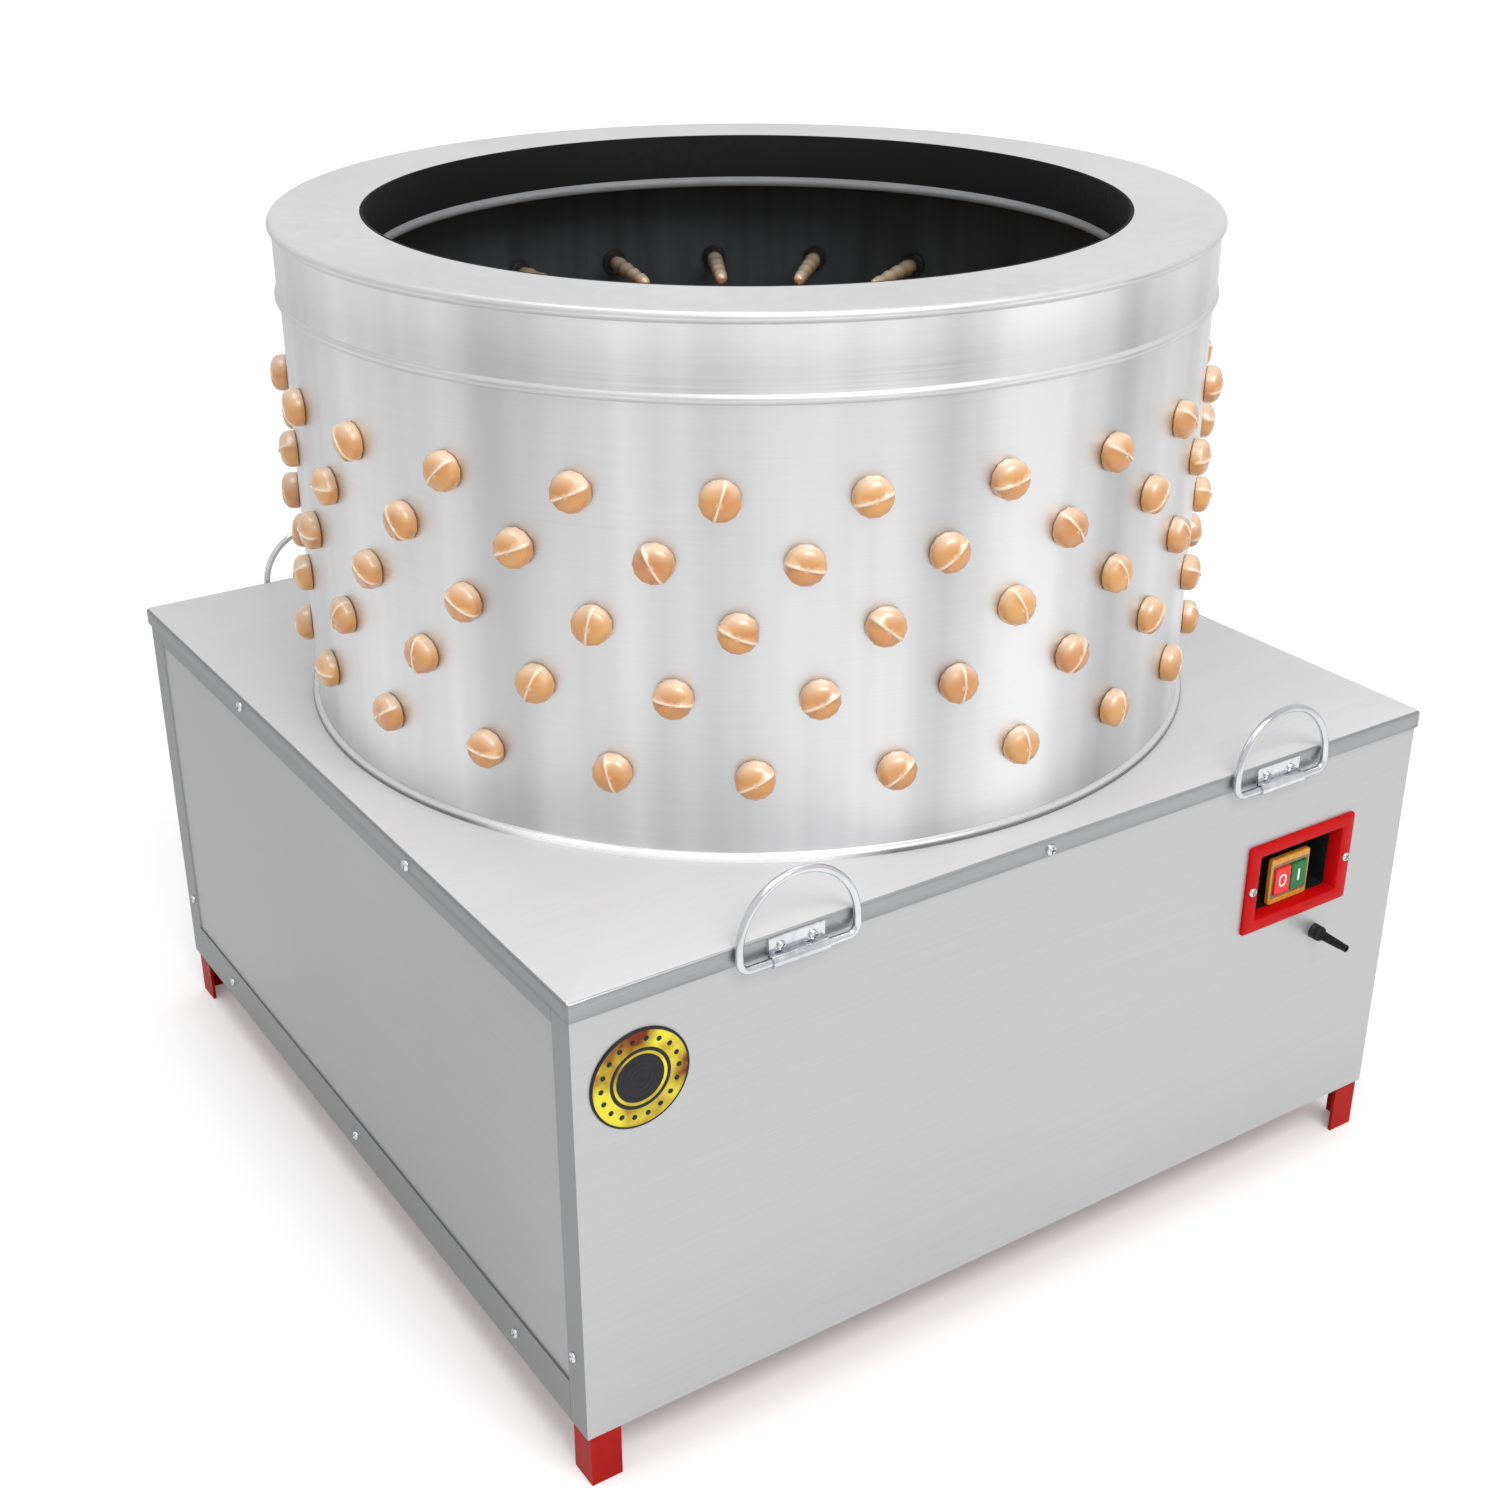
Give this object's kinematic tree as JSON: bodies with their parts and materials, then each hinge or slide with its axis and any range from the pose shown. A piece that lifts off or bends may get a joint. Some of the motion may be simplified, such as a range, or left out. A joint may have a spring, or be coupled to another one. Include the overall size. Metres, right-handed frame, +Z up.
{
  "type": "poultry plucker",
  "caption": "Drum poultry plucker: square steel cabinet on angle legs, upright drum lined with rubber fingers, belt-driven spinning feather plate, rear chute and recessed switch.",
  "frame": {"origin": "on the drum's axis at floor level, which is the middle of the base of the bounding box", "axes": "+X to the right along the front with the switch, +Y to the back where the chute is, +Z up the drum's axis"},
  "size_m": [0.8052, 0.867, 0.804],
  "materials": {
    "red_paint": "gloss red paint on angle steel",
    "stainless": "brushed stainless sheet",
    "bright_steel": "bright plated steel",
    "shaft_steel": "turned steel",
    "black_lining": "matt black lining",
    "tan_rubber": "satin tan rubber",
    "black_rubber": "matt black rubber",
    "cast_grey": "grey cast iron",
    "pulley_iron": "dark cast iron, turned rim",
    "motor_paint": "blue-grey machine paint",
    "red_plastic": "gloss red moulding",
    "black_plastic": "matt black moulding",
    "amber_plastic": "amber moulding",
    "stop_red": "gloss red button",
    "start_green": "gloss green button",
    "gold_foil": "plain gold-coloured badge"
  },
  "bodies": {
    "cabinet": {"frame_legs": "red_paint", "top_rails": "red_paint", "base_rails": "red_paint", "side_rails": "red_paint", "cross_bars": "red_paint", "motor_plate": "red_paint", "deck": "stainless", "front_panel": "stainless", "rear_panel": "stainless", "left_panel": "stainless", "right_panel": "stainless", "side_strips": "stainless", "panel_screws": "bright_steel", "drum_shell": "stainless", "drum_base_hem": "bright_steel", "drum_liner": "black_lining", "top_ring": "stainless", "mouth_collar": "black_lining", "wall_fingers_row_1": "tan_rubber", "wall_fingers_row_2": "tan_rubber", "wall_fingers_row_3": "tan_rubber", "wall_fingers_row_4": "tan_rubber", "wall_fingers_row_5": "tan_rubber", "bearing_housings": "cast_grey", "bearing_bolts": "bright_steel", "drive_belt": "black_rubber", "motor_body": "motor_paint", "motor_flange": "motor_paint", "motor_end_shield": "motor_paint", "motor_fan_cowl": "motor_paint", "terminal_box": "motor_paint", "motor_bolts": "bright_steel", "motor_lead": "black_rubber", "switch_box": "red_plastic", "switch_body": "black_plastic", "switch_bezel": "amber_plastic", "switch_screws": "bright_steel", "cable_gland": "black_plastic", "cable_boot": "black_rubber", "handle_clips": "bright_steel", "handle_screws": "bright_steel", "feather_tray": "stainless", "feather_chute": "stainless", "badge": "gold_foil"},
    "feather_rotor": {"feather_plate": "stainless", "plate_fingers": "tan_rubber", "plate_hub": "cast_grey", "plate_bolts": "bright_steel", "main_shaft": "shaft_steel", "bearing_inserts": "shaft_steel", "driven_pulley": "pulley_iron"},
    "motor_rotor": {"motor_shaft": "shaft_steel", "motor_fan": "black_plastic", "motor_pulley": "pulley_iron"},
    "stop_button": {"stop_button": "stop_red"},
    "start_button": {"start_button": "start_green"},
    "front_left_handle": {"handle_front_left": "bright_steel"},
    "front_right_handle": {"handle_front_right": "bright_steel"},
    "rear_left_handle": {"handle_rear_left": "bright_steel"},
    "rear_right_handle": {"handle_rear_right": "bright_steel"}
  },
  "joints": [
    {"name": "plate_spin", "type": "hinge", "parent": "cabinet", "child": "feather_rotor", "pos_m": [0, 0, 0.43], "axis": [0, 0, 1], "continuous": true},
    {"name": "motor_spin", "type": "hinge", "parent": "cabinet", "child": "motor_rotor", "pos_m": [-0.27, -0.27, 0.25], "axis": [0, 0, 1], "continuous": true},
    {"name": "stop_press", "type": "slide", "parent": "cabinet", "child": "stop_button", "axis": [0, 1, 0], "range_m": [0, 0.003], "stiffness_N_per_m": 400},
    {"name": "start_press", "type": "slide", "parent": "cabinet", "child": "start_button", "axis": [0, 1, 0], "range_m": [0, 0.003], "stiffness_N_per_m": 400},
    {"name": "front_left_handle_swing", "type": "hinge", "parent": "cabinet", "child": "front_left_handle", "pos_m": [-0.225, -0.4046, 0.394], "axis": [1, 0, 0], "range_deg": [0, 182]},
    {"name": "front_right_handle_swing", "type": "hinge", "parent": "cabinet", "child": "front_right_handle", "pos_m": [0.233, -0.4046, 0.394], "axis": [1, 0, 0], "range_deg": [0, 182]},
    {"name": "rear_left_handle_swing", "type": "hinge", "parent": "cabinet", "child": "rear_left_handle", "pos_m": [-0.233, 0.4046, 0.394], "axis": [-1, 0, 0], "range_deg": [0, 182]},
    {"name": "rear_right_handle_swing", "type": "hinge", "parent": "cabinet", "child": "rear_right_handle", "pos_m": [0.233, 0.4046, 0.394], "axis": [-1, 0, 0], "range_deg": [0, 182]}
  ],
  "couplings": [
    {"joint": "motor_spin", "follows": "plate_spin", "ratio": 5}
  ]
}
